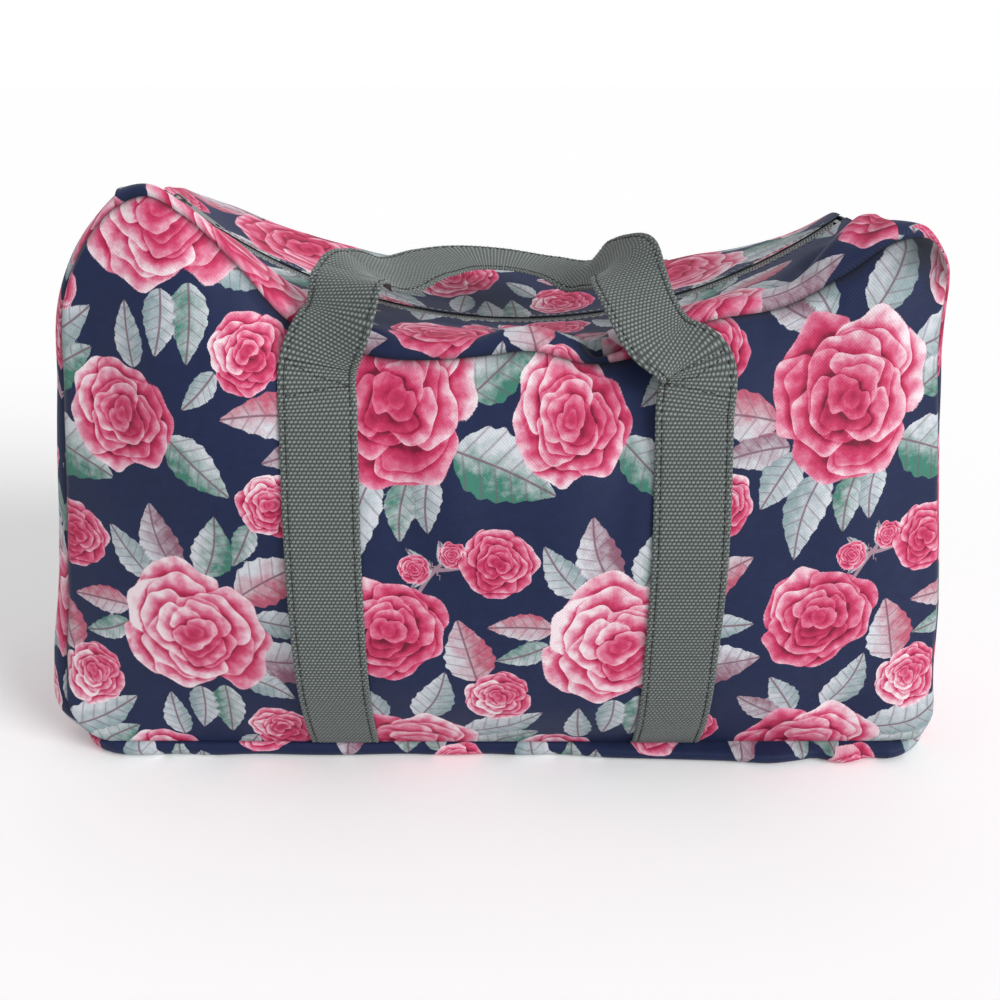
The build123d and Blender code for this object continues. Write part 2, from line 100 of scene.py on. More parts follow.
RIGHT_ROLL_SHARES = (
    (0.00, 0.50), (0.12, 0.40), (0.35, 0.30), (0.65, 0.40), (0.88, 1.20), (1.00, 1.00),
)
FRONT_LOOP_SHARES = (
    (-0.336, 1.050, 0.831), (-0.325, 0.945, 0.866), (-0.319, 0.783, 0.875),
    (-0.300, 0.499, 0.866), (-0.247, 0.200, 0.846), (-0.176, -0.072, 0.849),
    (-0.112, -0.211, 0.851), (-0.005, -0.252, 0.847), (0.099, -0.191, 0.837),
    (0.175, -0.021, 0.836), (0.210, 0.134, 0.857), (0.236, 0.316, 0.871),
    (0.256, 0.515, 0.884), (0.258, 0.715, 0.868), (0.277, 0.905, 0.834),
    (0.315, 1.033, 0.789),
)
FRONT_LOOP_CROSS_SHARES = (
    (0.95, 0.30, 0.00), (0.83, 0.52, -0.15), (0.60, 0.77, -0.20),
    (0.28, 0.94, -0.20), (0.15, 0.97, -0.20), (0.10, 0.97, -0.22),
    (0.06, 0.98, -0.20), (0.00, 0.99, -0.15), (-0.18, 0.97, -0.13),
    (-0.27, 0.94, -0.20), (-0.28, 0.86, -0.42), (-0.40, 0.74, -0.55),
    (-0.60, 0.60, -0.50), (-0.76, 0.50, -0.39), (-0.88, 0.42, -0.22),
    (-0.98, 0.15, -0.03),
)
REAR_LOOP_SHARES = (
    (-0.379, 1.105, 0.785), (-0.375, 1.195, 0.800), (-0.365, 1.295, 0.782),
    (-0.345, 1.365, 0.730), (-0.290, 1.405, 0.655), (-0.165, 1.425, 0.590),
    (0.000, 1.430, 0.570),
)
REAR_LOOP_CROSS_SHARES = (
    (1.00, 0.00, 0.00), (1.00, 0.00, 0.00), (1.00, 0.00, 0.05),
    (0.95, 0.02, 0.28), (0.74, 0.03, 0.66), (0.32, 0.02, 0.94),
    (0.00, 0.02, 1.00),
)
SEWN_TOP = 0.755 * HEIGHT


# Curves and small helpers
def smooth_curve(points, per_span=40):
    p = np.array(points, float)
    gaps = np.maximum(np.linalg.norm(np.diff(p, axis=0), axis=1), 1e-9)
    slopes = np.diff(p, axis=0) / gaps[:, None]
    tangents = np.empty_like(p)
    tangents[0] = slopes[0]
    tangents[-1] = slopes[-1]
    weight = (gaps[:-1] / (gaps[:-1] + gaps[1:]))[:, None]
    tangents[1:-1] = slopes[:-1] * (1 - weight) + slopes[1:] * weight
    out = []
    t = np.linspace(0, 1, per_span, endpoint=False)[:, None]
    for i, gap in enumerate(gaps):
        h00 = 2 * t**3 - 3 * t**2 + 1
        h10 = t**3 - 2 * t**2 + t
        h01 = 3 * t**2 - 2 * t**3
        h11 = t**3 - t**2
        out.append(h00 * p[i] + h10 * gap * tangents[i] + h01 * p[i + 1] + h11 * gap * tangents[i + 1])
    out.append(p[-1:])
    return np.concatenate(out)


def run_lengths(points):
    return np.concatenate([[0], np.cumsum(np.linalg.norm(np.diff(points, axis=0), axis=1))])


def along(points, share):
    lengths = run_lengths(points)
    wanted = np.asarray(share) * lengths[-1]
    return np.stack([np.interp(wanted, lengths, points[:, k]) for k in range(points.shape[1])], -1)


def lengths_along(grid, axis):
    """How far each point of a grid lies along the cloth from the first row or column."""
    steps = np.linalg.norm(np.diff(grid, axis=axis), axis=2)
    first = np.zeros_like(steps.take([0], axis))
    return np.concatenate([first, np.cumsum(steps, axis=axis)], axis=axis)


def smoothstep(low, high, x):
    t = np.clip((x - low) / (high - low), 0, 1)
    return t * t * (3 - 2 * t)


def bell(x, centre, width):
    return np.exp(-(((x - centre) / width) ** 2))


def ridge(u, v, start, finish, width, fade=0.35):
    """A soft ridge of height 1 along the line from start to finish."""
    start = np.array(start, float)
    run = np.array(finish, float) - start
    length = np.hypot(*run)
    run = run / length
    across = (u - start[0]) * -run[1] + (v - start[1]) * run[0]
    down = ((u - start[0]) * run[0] + (v - start[1]) * run[1]) / length
    ends = smoothstep(-0.02, fade, down) * smoothstep(1.02, 1 - fade, down)
    return np.exp(-((across / width) ** 2)) * ends


def ridges(u, v, table, fade=0.35):
    """Ridges and furrows added up. Each has a height, two ends and a width."""
    return sum(height * ridge(u, v, start, finish, width, fade) for height, start, finish, width in table)


RIPPLE_WAVES = 7


def ripples(u, v, seed, wavelength):
    """Uneven waves of about one wavelength, running all ways."""
    rng = np.random.RandomState(seed)
    total = np.zeros_like(u)
    for _ in range(RIPPLE_WAVES):
        angle = rng.uniform(0, math.pi)
        wave = wavelength * rng.uniform(0.5, 1.5)
        phase = rng.uniform(0, 2 * math.pi)
        total += np.sin((u * math.cos(angle) + v * math.sin(angle)) * 2 * math.pi / wave + phase)
    return total / math.sqrt(RIPPLE_WAVES)


def scaled(shares):
    return [(x * HALF_WIDTH, z * HEIGHT) for x, z in shares]


def zip_height(x):
    return ZIP_Z - np.sqrt((ZIP_RADIUS - 0.65) ** 2 - (x - ZIP_X) ** 2)


class Seam:
    """One panel's seam loop, with its top read by x and its sides by z."""

    def __init__(self, shares, belly, sign):
        self.loop = smooth_curve(scaled(shares))
        self.belly = belly
        self.sign = sign
        x, z = self.loop[:, 0], self.loop[:, 1]
        top = np.where((z > 0.7 * HEIGHT) & (x > END_LEFT_X - 0.01) & (x < END_RIGHT_X + 0.01))[0]
        self.first, self.last = top[0], top[-1]
        self.top_x, self.top_z = x[top], z[top]
        low_left = np.argmin(x)
        low_right = np.argmax(x)
        self.left_side = self.loop[low_left : self.first]
        self.right_side = self.loop[self.last + 1 : low_right + 1][::-1]
        self.low_left, self.low_right = low_left, low_right

    def top(self, x):
        return np.interp(x, self.top_x, self.top_z)

    def depth(self, x, z):
        side = np.abs(x) / HALF_WIDTH
        rise = (z - PANEL_FOOT) / (self.top(x) - PANEL_FOOT)
        centred = np.abs(2 * rise - 1)
        profile = np.where(centred <= 1, 1 - centred**2.6, -2.6 * (centred - 1))
        lean = TOP_LEAN * (z / HEIGHT) * side**2
        return HALF_DEPTH - lean + self.belly * (1 - side**3) * profile


front = Seam(FRONT_SEAM_SHARES, FRONT_BELLY, -1)
rear = Seam(REAR_SEAM_SHARES, REAR_BELLY, 1)


# Printed roses and leaves of an own design, as fields in the cloth's flat plane in millimetres
def rgb(r, g, b):
    c = np.array([r, g, b]) / 255.0
    return np.where(c <= 0.04045, c / 12.92, ((c + 0.055) / 1.055) ** 2.4)


NAVY = rgb(23, 34, 68)
LEAF_PALE = rgb(206, 210, 217)
LEAF_TINTS = {
    "grey": rgb(134, 156, 160),
    "teal": rgb(62, 122, 106),
    "mauve": rgb(140, 94, 114),
    "rose": rgb(184, 90, 114),
}
TILE = np.array([222.0, 214.0])
ROSE_UNIT = 40.0

# Layers of petals from the outside in, as shares of the rose's radius: petals in the layer, first
# angle as a share of a turn, reach, half length, half width and tone
PETAL_LAYERS = (
    (3, 0.00, 0.60, 0.40, 0.52, 0.50), (3, 0.17, 0.56, 0.40, 0.50, 0.56), (3, 0.07, 0.45, 0.35, 0.44, 0.44),
    (3, 0.24, 0.41, 0.33, 0.41, 0.52), (3, 0.03, 0.30, 0.27, 0.34, 0.40), (3, 0.20, 0.26, 0.25, 0.31, 0.46),
    (2, 0.12, 0.17, 0.21, 0.26, 0.32), (2, 0.37, 0.11, 0.17, 0.20, 0.38), (1, 0.00, 0.03, 0.11, 0.13, 0.14),
)

# Roses of the repeat: place, radius, seed, paleness and turn
ROSES = (
    ((54, 62), 43, 3, 0.02, 0.3), ((166, 150), 42, 8, 0.14, 1.4), ((140, 52), 30, 14, 0.04, 2.2),
    ((48, 160), 32, 21, -0.05, 0.8), ((206, 84), 20, 30, 0.02, 1.9), ((104, 116), 19, 37, 0.10, 2.8),
    ((104, 198), 20, 44, -0.03, 0.2), ((214, 12), 17, 51, 0.08, 1.1),
)

# Leaves and buds of the repeat
LEAF_KINDS = ("grey", "mauve", "grey", "teal", "grey", "rose", "teal")
LEAF_TRIES = 160
LEAF_LENGTHS = (28, 54)
LEAF_WIDTH_SHARES = (0.25, 0.36)
LEAF_ROOM_SHARE = 0.66
LEAF_LEAN = 0.55
SMALL_ROSE = 28
SMALL_LEAF_SHARE = 0.85
BUD_TRIES = 30
BUD_REACHES = (13, 24)
BUD_SIZES = (7.5, 11.0)


def unit(angle):
    return np.array([math.cos(angle), math.sin(angle)])


def wrapped(q):
    return (q + TILE / 2) % TILE - TILE / 2


def turned(q, angle):
    cos, sin = math.cos(angle), math.sin(angle)
    return np.stack([q[:, 0] * cos + q[:, 1] * sin, -q[:, 0] * sin + q[:, 1] * cos], -1)


def grow_leaves():
    """Leaves and stemmed buds around the roses, none of them on another leaf or rose."""
    rng = np.random.RandomState(5)
    leaves, buds, taken = [], [], []

    def free(points, room):
        for spot in points:
            for place, size, *_ in ROSES:
                if np.hypot(*wrapped(spot - np.array(place))) < size * 0.96 + room * 0.4:
                    return False
            if any(np.hypot(*wrapped(spot - other)) < room + wide for other, wide in taken):
                return False
        return True

    for place, size, *_ in ROSES:
        middle = np.array(place)
        for _ in range(LEAF_TRIES):
            angle = rng.uniform(0, 2 * math.pi)
            length = rng.uniform(*LEAF_LENGTHS) * (1.0 if size > SMALL_ROSE else SMALL_LEAF_SHARE)
            width = length * rng.uniform(*LEAF_WIDTH_SHARES)
            way = unit(angle + rng.uniform(-LEAF_LEAN, LEAF_LEAN))
            start = middle + unit(angle) * size * 0.86
            room = width * LEAF_ROOM_SHARE
            if free([start + way * length * share for share in (0.42, 0.6, 0.8, 1.0)], room):
                taken += [(start + way * length * share, room) for share in (0.1, 0.3, 0.5, 0.7, 0.9)]
                kind = LEAF_KINDS[len(leaves) % len(LEAF_KINDS)]
                leaves.append((start, math.atan2(way[1], way[0]), length, width, kind))
        for _ in range(BUD_TRIES):
            angle = rng.uniform(0, 2 * math.pi)
            tip = middle + unit(angle) * (size + rng.uniform(*BUD_REACHES))
            bud = rng.uniform(*BUD_SIZES)
            if free([tip], bud):
                taken.append((tip, bud * 1.1))
                buds.append((tip, bud, angle, middle + unit(angle) * size * 0.8))
                break
    return leaves, buds


LEAVES, BUDS = grow_leaves()


class Print:
    """Fields of the print at flat points, which the cloth's material turns into colour."""

    def __init__(self, u, v):
        self.flat = np.stack([u, v], -1)
        count = len(u)
        self.petals = np.full((count, len(PETAL_LAYERS)), -9.0)
        self.tone = np.zeros(count)
        self.leaf = np.tile([0.0, 9.0, -9.0], (count, 1))
        self.tint = np.tile(LEAF_TINTS["grey"], (count, 1))
        self.stem = np.tile([9.0, -9.0], (count, 1))
        for tip, size, angle, foot in BUDS:
            self.add_stem(foot, tip, 0.16 * size)
        for k, (start, angle, length, width, kind) in enumerate(LEAVES):
            self.add_leaf(start, angle, length, width, kind, k)
        for k, (tip, size, angle, foot) in enumerate(BUDS):
            for lean in (-0.75, 0.75):
                self.add_leaf(tip - unit(angle) * size, angle + lean, size * 1.9, size * 0.34, "grey", k)
            self.add_rose(tip, size, 300 + k, 0.05, angle)
        for place, size, seed, pale, turn in ROSES:
            self.add_rose(np.array(place), size, seed, pale, turn)

    def near(self, middle, angle, reach):
        q = wrapped(self.flat - middle)
        rows = np.where(np.abs(q).max(axis=1) < reach)[0]
        return rows, turned(q[rows], angle)

    def add_rose(self, place, size, seed, pale, turn):
        rng = np.random.RandomState(seed)
        rows, q = self.near(place, turn, 1.3 * size)
        q = q + size * 0.03 * np.stack([np.sin(q[:, 1] * 9 / size + seed), np.sin(q[:, 0] * 9 / size)], -1)
        top_tone = np.zeros(len(rows))
        for layer, (count, first, reach, length, width, tone) in enumerate(PETAL_LAYERS):
            field = np.full(len(rows), -9.0)
            first += rng.uniform(-0.05, 0.05)
            for j in range(count):
                angle = 2 * math.pi * (first + (j + rng.uniform(-0.1, 0.1)) / count)
                grow = size * rng.uniform(0.9, 1.1)
                p = turned(q, angle) - np.array([reach * size * rng.uniform(0.92, 1.04), 0])
                around = np.arctan2(p[:, 1] / width, p[:, 0] / length)
                phase = rng.uniform(0, 6.3)
                wave = 1 + 0.07 * np.sin(3 * around + phase) + 0.035 * np.sin(7 * around - phase)
                norm = np.hypot(p[:, 0] / length, p[:, 1] / width) / (grow * wave)
                depth = (1 - norm) * length * ROSE_UNIT
                lit = rng.uniform(-0.10, 0.10) + pale + 0.10 * math.cos(angle - 0.8)
                streak = 0.05 * np.sin(p[:, 1] / size * 26 + phase)
                top_tone = np.where(depth > np.maximum(field, -0.8), lit + streak, top_tone)
                field = np.maximum(field, depth)
            self.petals[rows, layer] = np.maximum(self.petals[rows, layer], field)
        inside = self.petals[rows].max(axis=1) > -2.5
        self.tone[rows] = np.where(inside, top_tone, self.tone[rows])

    def along_rib(self, start, angle, length, bend):
        middle = start + unit(angle) * length / 2
        rows, q = self.near(middle, angle, length * 0.5 + 14)
        share = q[:, 0] / length + 0.5
        bent = bend * np.sin(math.pi * np.clip(share, 0, 1))
        return rows, share, q[:, 1] - bent

    def add_leaf(self, start, angle, length, width, kind, seed):
        rng = np.random.RandomState(900 + seed)
        rows, share, side = self.along_rib(start, angle, length, rng.uniform(-0.3, 0.3) * width)
        t = np.clip(share, 0, 1)
        half = width * np.sin(math.pi * t**0.75) ** 0.85 * (1 - 0.2 * t)
        half = half * (1 + 0.05 * np.sin(t * 40 + seed))
        ends = np.minimum(share, 1 - share) * length
        depth = np.minimum(half - np.abs(side), ends)
        phase = share * 6.5 - np.abs(side) / width * 1.1
        better = depth > self.leaf[rows, 2]
        rows = rows[better]
        self.leaf[rows] = np.stack([phase, side, depth], -1)[better]
        self.tint[rows] = LEAF_TINTS[kind]

    def add_stem(self, foot, tip, bend):
        run = tip - foot
        length = np.hypot(*run)
        rows, share, side = self.along_rib(foot, math.atan2(run[1], run[0]), length, bend)
        reach = np.minimum(np.minimum(share, 1 - share) * length, 5.0 - np.abs(side))
        better = reach > self.stem[rows, 1]
        rows = rows[better]
        self.stem[rows] = np.stack([side, reach], -1)[better]

    def store(self, mesh):
        fields = {f"petals_{k}": self.petals[:, 3 * k : 3 * k + 3] for k in range(3)}
        fields["leaf"] = self.leaf
        fields["stem"] = np.concatenate([self.stem, self.petals.max(axis=1)[:, None]], 1)
        fields["tint"] = self.tint
        for name, values in fields.items():
            attribute = mesh.attributes.new(name, "FLOAT_VECTOR", "POINT")
            attribute.data.foreach_set("vector", values.astype(np.float32).ravel())
        store_value(mesh, "tone", self.tone)


# Mesh building
def grid_faces(rows, columns):
    index = np.arange(rows * columns).reshape(rows, columns)
    return np.stack(
        [index[:-1, :-1], index[:-1, 1:], index[1:, 1:], index[1:, :-1]], -1
    ).reshape(-1, 4)


def mesh_object(name, points, faces):
    mesh = bpy.data.meshes.new(name)
    faces = np.asarray(faces)
    corners = faces.shape[1]
    mesh.vertices.add(len(points))
    mesh.vertices.foreach_set("co", (np.asarray(points) * MM).astype(np.float32).ravel())
    mesh.loops.add(faces.size)
    mesh.loops.foreach_set("vertex_index", faces.astype(np.int32).ravel())
    mesh.polygons.add(len(faces))
    mesh.polygons.foreach_set("loop_start", np.arange(0, faces.size, corners, dtype=np.int32))
    mesh.update(calc_edges=True)
    mesh.validate()
    mesh.polygons.foreach_set("use_smooth", np.ones(len(mesh.polygons), bool))
    piece = bpy.data.objects.new(name, mesh)
    bpy.context.scene.collection.objects.link(piece)
    return piece


def store_value(mesh, name, values):
    attribute = mesh.attributes.new(name, "FLOAT", "POINT")
    attribute.data.foreach_set("value", values.astype(np.float32).ravel())


def set_flat(piece, u, v):
    """Keeps the places in the flat cloth as a UV map, in centimetres."""
    mesh = piece.data
    layer = mesh.uv_layers.new(name="cloth")
    loop_vertex = np.empty(len(mesh.loops), np.int32)
    mesh.loops.foreach_get("vertex_index", loop_vertex)
    flat = np.stack([u, v], -1) / 10
    layer.data.foreach_set("uv", flat[loop_vertex].astype(np.float32).ravel())


def slump(points):
    """Moves the cloth as it sags: a full front corner, a low rear edge and a wide foot at the right,
    a full foot at both ends, a front edge that arches over a fold, and a dip past the zip's right end."""
    x, y, z = points.T
    corner = smoothstep(120, 205, x) * smoothstep(225, 275, z) * smoothstep(-25, -80, y)
    low = smoothstep(40, 150, x) * smoothstep(12, 80, y) * smoothstep(200, 250, z)
    foot = smoothstep(150, 235, x) * bell(z, 95, 60)
    full = smoothstep(-180, -236, x) * bell(z, 29, 20) * (z > BASE_HEIGHT + 0.2)
    toe = smoothstep(185, 226, x) * smoothstep(-70, -90, y)
    toe = toe * smoothstep(9.5, 17, z) * smoothstep(60, 25, z)
    arch = bell(x, 16, 20) * smoothstep(-50, -80, y) * smoothstep(195, 232, z)
    dip = smoothstep(187, 200, x) * smoothstep(230, 212, x)
    dip = dip * smoothstep(-78, -40, y) * smoothstep(255, 280, z)
    across = 5.0 * corner + 3.0 * foot - 5.0 * full + 7.0 * toe
    up = 6.5 * corner - 9.0 * low - 4.0 * full - 5.0 * toe + 5.0 * arch - 6.0 * dip
    return points + np.stack([across, 0 * x, up], -1)


def cloth_piece(name, node_name, grid, u, v, crease, outward):
    """A sewn panel from a grid of points, their places in the flat cloth and its painted shade near seams
    and folds.
    """
    rows, columns = grid.shape[:2]
    faces = grid_faces(rows, columns)
    points = slump(grid.reshape(-1, 3))
    a, b, c = (points[faces[len(faces) // 2, k]] for k in (0, 1, 3))
    if np.dot(np.cross(b - a, c - a), outward) < 0:
        faces = faces[:, ::-1]
    piece = mesh_object(name, points, faces)
    Print(u.ravel(), v.ravel()).store(piece.data)
    store_value(piece.data, "crease", crease)
    set_flat(piece, u.ravel(), v.ravel())
    piece.data.materials.append(printed)
    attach(piece, "bag")
    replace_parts(piece, node_name)


# Materials
BUMP_HEIGHT = 0.0002


class Graph:
    """A material's nodes, made and linked by short calls with numbers, colours or sockets."""

    def __init__(self, tree):
        self.nodes = tree.nodes
        self.links = tree.links

    def add(self, kind, inputs=(), **settings):
        """Adds a node, feeds its sockets by place or name and returns its outputs."""
        made = self.nodes.new("ShaderNode" + kind)
        for key, value in settings.items():
            setattr(made, key, value)
        for place, value in dict(inputs).items():
            self.feed(made.inputs[place], value)
        return made.outputs

    def feed(self, socket, value):
        if isinstance(value, (int, float)):
            socket.default_value = value
        elif isinstance(value, (tuple, list, np.ndarray)):
            socket.default_value = (*[float(x) for x in value], 1)
        else:
            self.links.new(value, socket)

    def math(self, operation, *values):
        return self.add("Math", enumerate(values), operation=operation)[0]

    def blend(self, factor, a, b):
        return self.add("Mix", {0: factor, 2: a, 3: b})[0]

    def mix(self, factor, a, b, blend="MIX"):
        return self.add("Mix", {0: factor, 6: a, 7: b}, data_type="RGBA", blend_type=blend)[2]

    def noise(self, vector, scale, detail, roughness):
        inputs = {"Vector": vector, "Scale": scale, "Detail": detail, "Roughness": roughness}
        return self.add("TexNoise", inputs)[0]

    def span(self, value, low, high, to_low=0.0, to_high=1.0):
        """Maps the range from low to high onto another one."""
        return self.add("MapRange", enumerate((value, low, high, to_low, to_high)))[0]

    def grey(self, value):
        return self.add("CombineColor", {0: value, 1: value, 2: value})[0]

    def ramp(self, value, stops):
        made = self.nodes.new("ShaderNodeValToRGB")
        elements = made.color_ramp.elements
        while len(elements) < len(stops):
            elements.new(0.5)
        for element, (place, colour) in zip(elements, stops):
            element.position = place
            element.color = (*[float(c) for c in colour], 1)
        self.feed(made.inputs[0], value)
        return made.outputs[0]

    def stored(self, name, output="Fac"):
        return self.add("Attribute", attribute_name=name)[output]

    def stored_parts(self, name):
        return self.add("SeparateXYZ", {0: self.stored(name, "Vector")})

    def cloth_place(self):
        return self.add("UVMap", uv_map="cloth")[0]

    def bump(self, height, strength):
        return self.add("Bump", {"Strength": strength, "Distance": BUMP_HEIGHT, "Height": height})[0]


def new_material(name):
    """A material, its nodes and its shader's sockets."""
    material = bpy.data.materials.new(name)
    material.use_nodes = True
    tree = material.node_tree
    return material, Graph(tree), tree.nodes["Principled BSDF"].inputs


STEM_COLOUR = rgb(158, 128, 142)
VEIN_COLOUR = rgb(112, 74, 92)
ROSE_RAMP = (
    (0.00, rgb(108, 16, 46)),
    (0.22, rgb(166, 30, 72)),
    (0.45, rgb(196, 56, 98)),
    (0.66, rgb(214, 112, 144)),
    (0.84, rgb(228, 178, 194)),
    (1.00, rgb(238, 222, 228)),
)


def petal_value(graph):
    """Lightness of the roses: each layer of petals has a pale rim and shades the layer below."""
    value = None
    for k, (*_, tone) in enumerate(PETAL_LAYERS):
        depth = graph.stored_parts(f"petals_{k // 3}")[k % 3]
        petal = graph.span(depth, 0.0, 9.0, tone + 0.30, tone - 0.16)
        if value is None:
            value = petal
            continue
        shaded = graph.math("ADD", value, graph.span(depth, -3.2, 0.0, 0.0, -0.20))
        value = graph.blend(graph.span(depth, -0.12, 0.12), shaded, petal)
    return value


def leaf_colour(graph, wet, phase, side):
    """Leaves pale to one side and in patches, with a rib and veins."""
    slope = graph.math("MULTIPLY_ADD", side, 0.05, 0.5)
    pale = graph.math("ADD", slope, graph.math("MULTIPLY_ADD", wet, 1.6, -0.85))
    colour = graph.mix(pale, graph.stored("tint", "Vector"), LEAF_PALE)
    rib = graph.span(graph.math("ABSOLUTE", side), 0.35, 0.75, 0.8, 0.0)
    part = graph.math("SUBTRACT", graph.math("FRACT", phase), 0.5)
    vein = graph.span(graph.math("ABSOLUTE", part), 0.03, 0.11, 0.45, 0.0)
    return graph.mix(graph.math("MAXIMUM", rib, vein), colour, VEIN_COLOUR)


def print_material():
    material, graph, sockets = new_material("printed twill")
    cloth = graph.cloth_place()
    wet = graph.noise(cloth, 1.6, 4.0, 0.62)
    grain = graph.noise(cloth, 9.0, 3.0, 0.6)
    brushed = graph.math("MULTIPLY_ADD", grain, 1.4, -0.7)
    side, reach, rose = graph.stored_parts("stem")
    phase, leaf_side, leaf = graph.stored_parts("leaf")
    # Navy ground with stems, leaves and roses laid over it in turn
    colour = graph.mix(graph.span(wet, 0.35, 0.7), NAVY * 0.9, NAVY * 1.15)
    slim = graph.span(graph.math("ABSOLUTE", side), 0.8, 1.15, 1.0, 0.0)
    stem = graph.math("MULTIPLY", graph.span(reach, -0.1, 0.2), slim)
    colour = graph.mix(stem, colour, STEM_COLOUR)
    mask = graph.span(graph.math("ADD", leaf, brushed), -0.2, 0.2)
    colour = graph.mix(mask, colour, leaf_colour(graph, wet, phase, leaf_side))
    value = graph.math("ADD", petal_value(graph), graph.stored("tone"))
    value = graph.math("ADD", value, graph.span(wet, 0.25, 0.75, -0.17, 0.17))
    mask = graph.span(graph.math("ADD", rose, brushed), -0.2, 0.2)
    colour = graph.mix(mask, colour, graph.ramp(value, ROSE_RAMP))
    # Diagonal lines of the twill, and painted shade darkening the cloth along its seams and folds
    inputs = {"Vector": cloth, "Scale": 3.9, "Distortion": 0.5}
    twill = graph.add("TexWave", inputs, wave_type="BANDS", bands_direction="DIAGONAL")[1]
    lines = graph.span(twill, 0.0, 1.0, 0.94, 1.05)
    level = graph.math("MULTIPLY", lines, graph.span(grain, 0.3, 0.7, 0.94, 1.06))
    level = graph.math("MULTIPLY", level, graph.span(graph.stored("crease"), 0.0, 1.0, 1.0, 0.14))
    graph.feed(sockets["Base Color"], graph.mix(1.0, colour, graph.grey(level), "MULTIPLY"))
    graph.feed(sockets["Roughness"], graph.span(grain, 0.2, 0.8, 0.56, 0.70))
    graph.feed(sockets["Normal"], graph.bump(twill, 0.35))
    sockets["Specular IOR Level"].default_value = 0.22
    sockets["Sheen Weight"].default_value = 0.02
    return material


def webbing_material():
    material, graph, sockets = new_material("woven webbing")
    cloth = graph.cloth_place()
    height = graph.stored("weave")
    yarn = graph.noise(cloth, 5.0, 2.0, 0.6)
    fibre = graph.noise(cloth, 28.0, 2.0, 0.6)
    base = graph.mix(graph.span(yarn, 0.3, 0.7), rgb(110, 119, 117), rgb(134, 144, 142))
    # Painted shade in the gaps of the weave: the colour darkens where the weave is low
    deep = graph.mix(graph.span(height, 0.05, 0.8), rgb(54, 60, 58), base)
    # Painted highlight on the tops of the weave's bumps, flecked by fibre noise
    light = graph.math("MULTIPLY", graph.span(fibre, 0.45, 0.66), graph.span(height, 0.5, 1.0, 0.0, 0.9))
    graph.feed(sockets["Base Color"], graph.mix(light, deep, rgb(200, 208, 205)))
    graph.feed(sockets["Roughness"], graph.span(fibre, 0.3, 0.7, 0.55, 0.75))
    graph.feed(sockets["Normal"], graph.bump(fibre, 0.5))
    sockets["Specular IOR Level"].default_value = 0.35
    sockets["Sheen Weight"].default_value = 0.1
    return material


def plain_material(name, colour, roughness, metallic=0.0, scale=400.0):
    material, graph, sockets = new_material(name)
    grain = graph.noise(graph.add("TexCoord")["Object"], scale, 3.0, 0.6)
    graph.feed(sockets["Base Color"], graph.mix(grain, colour * 0.85, colour * 1.15))
    graph.feed(sockets["Roughness"], graph.span(grain, 0.2, 0.8, roughness - 0.06, roughness + 0.06))
    sockets["Metallic"].default_value = metallic
    return material


printed = print_material()
webbing = webbing_material()
thread_dark = plain_material("dark thread", rgb(38, 39, 36), 0.75)
thread_pale = plain_material("pale thread", rgb(150, 152, 152), 0.7)
tape_grey = plain_material("zip tape weave", rgb(98, 102, 104), 0.8, scale=1500.0)
coil_grey = plain_material("zip coil nylon", rgb(128, 131, 130), 0.45)
slider_grey = plain_material("slider metal", rgb(120, 121, 122), 0.35, 0.9)


# Front and rear panels
def panel_grid(seam, columns, rows):
    s = np.linspace(-1, 1, columns)
    loop = seam.loop
    corner = loop[: seam.low_left + 1]
    low_z = np.interp(s, corner[::-1, 0] / -corner[-1, 0], corner[::-1, 1])
    corner = loop[seam.low_right :]
    low_right = np.interp(s, corner[::-1, 0] / corner[0, 0], corner[::-1, 1])
    low_z = np.where(s < 0, low_z, low_right)
    shoulder = 0.82 * HEIGHT

    def side_x(side, z):
        keep = side[:, 1] < shoulder
        xs, zs = side[keep, 0], side[keep, 1]
        slope = (xs[-1] - xs[-12]) / (zs[-1] - zs[-12])
        x = np.interp(z, zs, xs)
        return np.where(z > zs[-1], xs[-1] + slope * (z - zs[-1]), x)

    index = np.arange(len(loop))
    on_top = (index >= seam.first) & (index <= seam.last)
    upper = np.where((loop[:, 1] >= shoulder - 6) | on_top)[0]
    ux, uz = loop[upper, 0], loop[upper, 1]
    us = np.where(ux < 0, -ux / side_x(seam.left_side, uz), ux / side_x(seam.right_side, uz))
    high_z = np.interp(s, us, uz)
    share = np.linspace(0, 1, rows)[:, None]
    z = low_z + share * (high_z - low_z)
    x = np.where(s < 0, -s * side_x(seam.left_side, z), s * side_x(seam.right_side, z))
    side_gap = (1 - np.abs(s)) * HALF_WIDTH + 0 * z
    slope = np.gradient(high_z, x[-1])
    edge = np.minimum(np.minimum(z - low_z, (high_z - z) / np.sqrt(1 + slope**2)), side_gap)
    return x, z, edge


# Ridges and furrows of the front: height, two ends and width
FRONT_RIDGES = (
    (2.2, (-40, 222), (-15, 120), 14),
    (-1.6, (-62, 226), (-45, 130), 11),
    (1.8, (40, 216), (20, 120), 13),
    (-1.5, (62, 222), (48, 120), 10),
    (1.6, (-190, 285), (-150, 190), 16),
    (-1.3, (-205, 262), (-190, 150), 12),
    (1.8, (195, 262), (160, 170), 16),
    (-1.3, (212, 235), (196, 130), 12),
    (1.4, (185, 20), (130, 42), 8),
    (-1.2, (205, 24), (150, 60), 9),
    (1.2, (-150, 18), (-120, 60), 10),
    (1.0, (0, 16), (6, 60), 12),
)


def puckers(x, edge, beat):
    """Small gathers along a seam."""
    return 0.35 * np.sin(x / 2.9 + 1.3 * np.sin(x / beat)) * np.exp(-edge / 7.0) * smoothstep(0, 3, edge)


def front_relief(x, z, edge):
    """How far the front cloth stands out from its plain belly, in millimetres."""
    waves = 1.1 * ripples(x, z, 11, 150) + 0.35 * ripples(x, z, 12, 60)
    return waves * smoothstep(0, 30, edge) + puckers(x, edge, 23) + ridges(x, z, FRONT_RIDGES)


def rear_relief(x, z, edge):
    waves = 1.2 * ripples(x, z, 31, 140) + 0.35 * ripples(x, z, 32, 60)
    return waves * smoothstep(0, 30, edge) + puckers(x, edge, 19)


